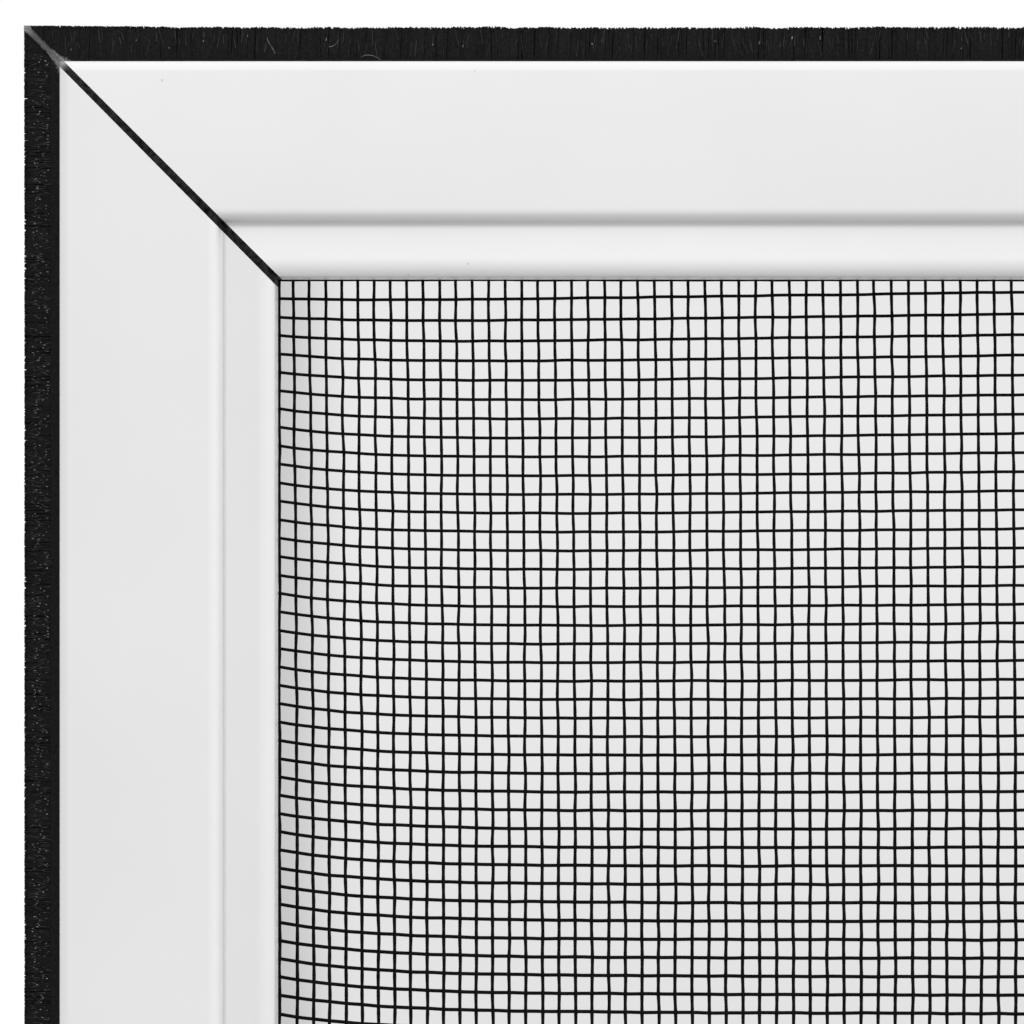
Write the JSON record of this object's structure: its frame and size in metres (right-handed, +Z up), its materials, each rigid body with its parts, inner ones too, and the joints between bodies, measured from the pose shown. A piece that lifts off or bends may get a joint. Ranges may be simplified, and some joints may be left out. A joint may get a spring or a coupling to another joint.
{
  "type": "window insect screen",
  "caption": "Rectangular window insect screen: mitred white aluminium frame on corner keys, black brush seal round the edge, and a woven mesh held by splines at the back.",
  "frame": {"origin": "centre of the frame's bounding box", "axes": "+Z up along the stiles, +X to the right seen from the front, front face towards -Y and back face towards +Y"},
  "size_m": [0.6064, 0.011, 0.9064],
  "materials": {
    "white_powder_coat": "satin powder coat",
    "black_moulding": "moulded",
    "black_pile": "cut pile",
    "black_spline": "extruded",
    "black_mesh": "coated fibreglass weave"
  },
  "bodies": {
    "root": {"top_rail": "white_powder_coat", "right_stile": "white_powder_coat", "bottom_rail": "white_powder_coat", "left_stile": "white_powder_coat", "corner_key_top_left": "black_moulding", "corner_key_top_right": "black_moulding", "corner_key_bottom_right": "black_moulding", "corner_key_bottom_left": "black_moulding", "brush_seal_top": "black_pile", "brush_seal_right": "black_pile", "brush_seal_bottom": "black_pile", "brush_seal_left": "black_pile", "spline_top": "black_spline", "spline_right": "black_spline", "spline_bottom": "black_spline", "spline_left": "black_spline", "insect_mesh": "black_mesh"}
  },
  "joints": []
}
